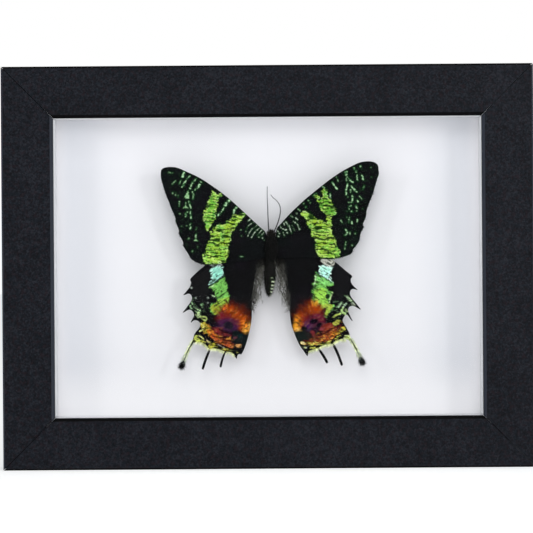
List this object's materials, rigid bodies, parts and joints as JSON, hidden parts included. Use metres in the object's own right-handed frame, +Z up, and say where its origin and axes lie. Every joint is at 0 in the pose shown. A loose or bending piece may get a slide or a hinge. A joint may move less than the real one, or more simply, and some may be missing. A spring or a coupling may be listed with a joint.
{
  "type": "framed moth specimen",
  "caption": "Spread sunset moth with green bands and tailed hindwings, set on a white board in a deep black glass-fronted box frame.",
  "frame": {"origin": "centre of the frame's outline at its bottom edge, on the surface it stands on", "axes": "+Z up the frame, +X to the right as seen from the glass side, -Y out of the glass towards the viewer"},
  "size_m": [0.211, 0.032, 0.16],
  "materials": {
    "frame_black": "matt black",
    "clear_glass": "polished",
    "white_card": "matt",
    "hardboard": "raw",
    "steel": "plated",
    "foam": "matt",
    "body_fur": "hairy",
    "forewing_scales": "scaled",
    "hindwing_scales": "scaled",
    "antenna_horn": "satin"
  },
  "bodies": {
    "root": {"frame_rail_top": "frame_black", "frame_rail_bottom": "frame_black", "frame_rail_left": "frame_black", "frame_rail_right": "frame_black", "glass_pane": "clear_glass", "spacer_top": "white_card", "spacer_bottom": "white_card", "spacer_left": "white_card", "spacer_right": "white_card", "mount_board": "white_card", "back_board": "hardboard", "tab_top_left": "steel", "tab_top_right": "steel", "tab_bottom_left": "steel", "tab_bottom_right": "steel", "tab_left": "steel", "tab_right": "steel", "sawtooth_hanger": "steel", "foam_post": "foam", "moth_body": "body_fur", "forewing_left": "forewing_scales", "forewing_right": "forewing_scales", "hindwing_left": "hindwing_scales", "hindwing_right": "hindwing_scales", "antenna_left": "antenna_horn", "antenna_right": "antenna_horn"}
  },
  "joints": []
}
